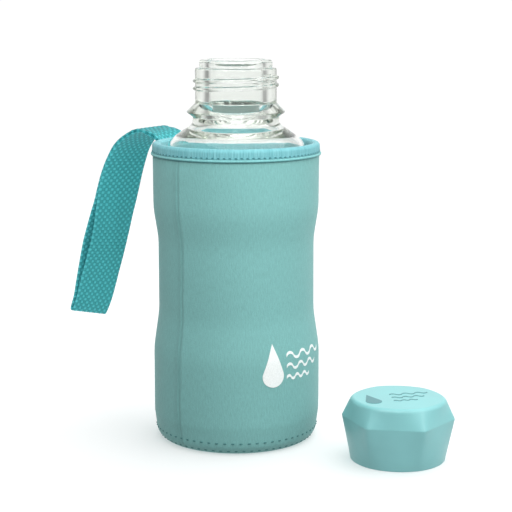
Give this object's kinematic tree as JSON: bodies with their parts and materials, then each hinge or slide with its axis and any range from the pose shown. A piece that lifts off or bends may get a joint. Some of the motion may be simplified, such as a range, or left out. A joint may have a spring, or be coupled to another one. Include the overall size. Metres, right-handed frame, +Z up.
{
  "type": "water bottle",
  "caption": "Waisted glass drinking bottle with threaded neck in a stitched neoprene sleeve, webbing carrying loop, and separate hexagonal screw lid.",
  "frame": {"origin": "centre of the sleeve's base on the surface it stands on, on the bottle's axis", "axes": "+Z up along the bottle's axis; the strap hangs towards -X and the lid stands towards +X"},
  "size_m": [0.1987, 0.0818, 0.1835],
  "materials": {
    "glass": "clear borosilicate glass",
    "neoprene": "matte teal knit-faced neoprene",
    "binding": "ribbed teal knit tape",
    "thread": "teal sewing thread",
    "webbing": "woven teal polyester webbing",
    "print_white": "white heat-transfer print",
    "lid_plastic": "satin aqua plastic",
    "liner_plastic": "natural polypropylene",
    "silicone": "translucent white silicone",
    "print_grey": "dark teal pad print"
  },
  "bodies": {
    "sleeve": {"sleeve_wall": "neoprene", "sleeve_base": "neoprene", "rim_binding": "binding", "rim_welt": "neoprene", "rim_stitching": "thread", "base_stitching_upper": "thread", "base_stitching_lower": "thread", "strap_sewn_ends": "webbing", "sleeve_print": "print_white"},
    "bottle": {"glass_bottle": "glass"},
    "strap": {"strap_loop": "webbing"},
    "lid_seal": {"lid_seal": "silicone"},
    "lid": {"lid_shell": "lid_plastic", "lid_liner": "liner_plastic", "lid_print": "print_grey"}
  },
  "joints": [
    {"name": "bottle_lift", "type": "slide", "parent": "sleeve", "child": "bottle", "axis": [0, 0, 1], "range_m": [0, 0.16], "deforming": ["sleeve_wall", "rim_binding"]},
    {"name": "strap_swing", "type": "hinge", "parent": "sleeve", "child": "strap", "pos_m": [-0.0476, 0, 0.1484], "axis": [0, 1, 0], "range_deg": [-12, 140]},
    {"name": "lid_lift", "type": "slide", "parent": "sleeve", "child": "lid_seal", "axis": [0, 0, 1], "range_m": [0, 0.2]},
    {"name": "lid_turn", "type": "hinge", "parent": "lid_seal", "child": "lid", "pos_m": [0.0866, 0.0018, 0], "axis": [0, 0, 1], "continuous": true}
  ]
}
